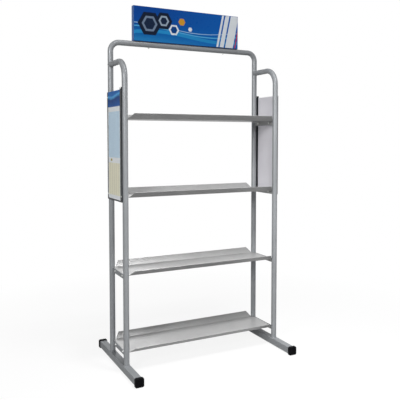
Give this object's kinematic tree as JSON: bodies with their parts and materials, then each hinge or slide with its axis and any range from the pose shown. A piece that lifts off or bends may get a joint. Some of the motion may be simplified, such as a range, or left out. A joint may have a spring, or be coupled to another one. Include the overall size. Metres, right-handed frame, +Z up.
{
  "type": "steel display rack",
  "caption": "Free-standing display rack: bent-tube frame on square feet, flared sheet shelves, a header tray on top and side panels.",
  "frame": {"origin": "on the floor, midway between the four uprights", "axes": "+X to the right as seen from the front, +Y to the rear, +Z up"},
  "size_m": [1.02, 0.65, 2.059],
  "materials": {
    "frame_paint": "silver-grey powder coat on steel tube, square tube and flat bar",
    "shelf_paint": "silver-grey powder coat on folded sheet steel",
    "black_plastic": "moulded black end cap",
    "trim_plastic": "black extruded edge channel",
    "header_paint": "blue coat on folded sheet steel",
    "printed_film": null,
    "panel_board": "pale flat plastic sheet",
    "zinc": "zinc plated"
  },
  "bodies": {
    "root": {"crossbar_left_bottom": "frame_paint", "crossbar_left_lower_middle": "frame_paint", "crossbar_left_top": "frame_paint", "crossbar_left_upper_middle": "frame_paint", "crossbar_right_bottom": "frame_paint", "crossbar_right_lower_middle": "frame_paint", "crossbar_right_top": "frame_paint", "crossbar_right_upper_middle": "frame_paint", "foot_cap_left_front": "black_plastic", "foot_cap_left_rear": "black_plastic", "foot_cap_right_front": "black_plastic", "foot_cap_right_rear": "black_plastic", "foot_left": "frame_paint", "foot_right": "frame_paint", "front_post_left": "frame_paint", "front_post_right": "frame_paint", "header_bolts": "zinc", "header_graphic": "printed_film", "header_nuts": "zinc", "header_tray": "header_paint", "panel_screws_left": "zinc", "panel_screws_right": "zinc", "panel_sill_left": "trim_plastic", "panel_sill_right": "trim_plastic", "panel_trim_left_front": "trim_plastic", "panel_trim_left_rear": "trim_plastic", "panel_trim_right_front": "trim_plastic", "panel_trim_right_rear": "trim_plastic", "rear_hoop": "frame_paint", "shelf_bolts_bottom": "zinc", "shelf_bolts_lower_middle": "zinc", "shelf_bolts_top": "zinc", "shelf_bolts_upper_middle": "zinc", "shelf_bottom": "shelf_paint", "shelf_lower_middle": "shelf_paint", "shelf_nuts_bottom": "zinc", "shelf_nuts_lower_middle": "zinc", "shelf_nuts_top": "zinc", "shelf_nuts_upper_middle": "zinc", "shelf_top": "shelf_paint", "shelf_upper_middle": "shelf_paint", "side_chart_left": "printed_film", "side_panel_left": "panel_board", "side_panel_right": "panel_board"}
  },
  "joints": []
}
